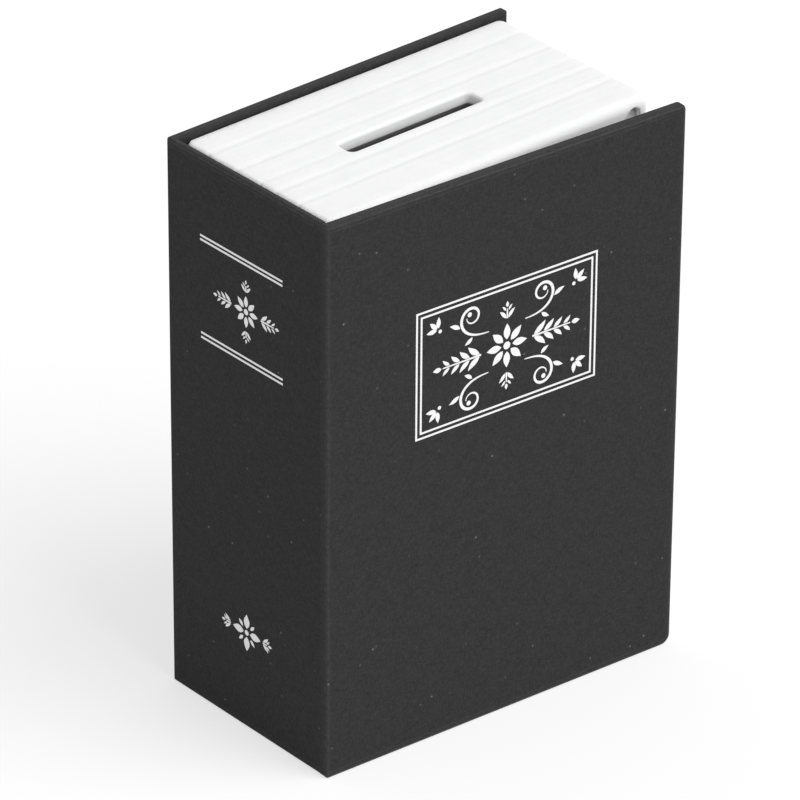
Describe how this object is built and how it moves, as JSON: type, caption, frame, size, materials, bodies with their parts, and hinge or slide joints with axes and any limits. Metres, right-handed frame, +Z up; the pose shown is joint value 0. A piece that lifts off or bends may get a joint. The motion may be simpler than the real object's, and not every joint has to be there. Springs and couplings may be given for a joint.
{
  "type": "book diversion safe",
  "caption": "Small safe disguised as a hardback book: hard cover ajar, white page block with a coin slot, and a steel strongbox inside with a hinged lid and a cam lock.",
  "frame": {"origin": "centre of the outline's footprint, on the surface that the book stands on", "axes": "+X from the spine to the fore-edge, +Y from the front cover to the back cover, +Z up from tail to head"},
  "size_m": [0.08, 0.0508, 0.1145],
  "materials": {
    "cover_paper": "charcoal black book paper with a fine linen grain, matt",
    "greyboard": "plain grey book board",
    "endpaper": "smooth black paper",
    "page_white": "white moulded plastic with page lines",
    "painted_steel": "dark grey powder coat",
    "zinc_steel": "bright zinc plate",
    "lock_chrome": "satin chrome"
  },
  "bodies": {
    "case": {"hinge_paper": "cover_paper", "cover_paper_spine": "cover_paper", "spine_board": "greyboard", "cover_paper_back": "cover_paper", "back_board": "greyboard", "back_endpaper": "endpaper", "page_block": "page_white", "steel_box": "painted_steel", "hinge_leaf_box": "painted_steel", "hinge_pin": "zinc_steel"},
    "front_cover": {"cover_paper_front": "cover_paper", "front_board": "greyboard", "front_endpaper": "endpaper"},
    "lid": {"lid": "painted_steel", "hinge_leaf_lid": "painted_steel", "lock_body": "lock_chrome", "lock_nut": "zinc_steel"},
    "lock_plug": {"lock_plug": "lock_chrome", "lock_cam": "zinc_steel", "cam_washer": "zinc_steel", "cam_screw": "zinc_steel"}
  },
  "joints": [
    {"name": "cover_hinge", "type": "hinge", "parent": "case", "child": "front_cover", "pos_m": [-0.04, -0.01729, 0], "axis": [0, 0, -1], "range_deg": [0, 170], "deforming": ["hinge_paper"]},
    {"name": "lid_hinge", "type": "hinge", "parent": "case", "child": "lid", "pos_m": [-0.03161, -0.01533, 0.05725], "axis": [0, 0, -1], "range_deg": [0, 102]},
    {"name": "lock_turn", "type": "hinge", "parent": "lid", "child": "lock_plug", "pos_m": [0.01804, -0.0155, 0.05725], "axis": [0, 1, 0], "range_deg": [0, 90]}
  ],
  "couplings": [
    {"joint": "lid_hinge", "follows": "cover_hinge", "ratio": 0.6}
  ]
}
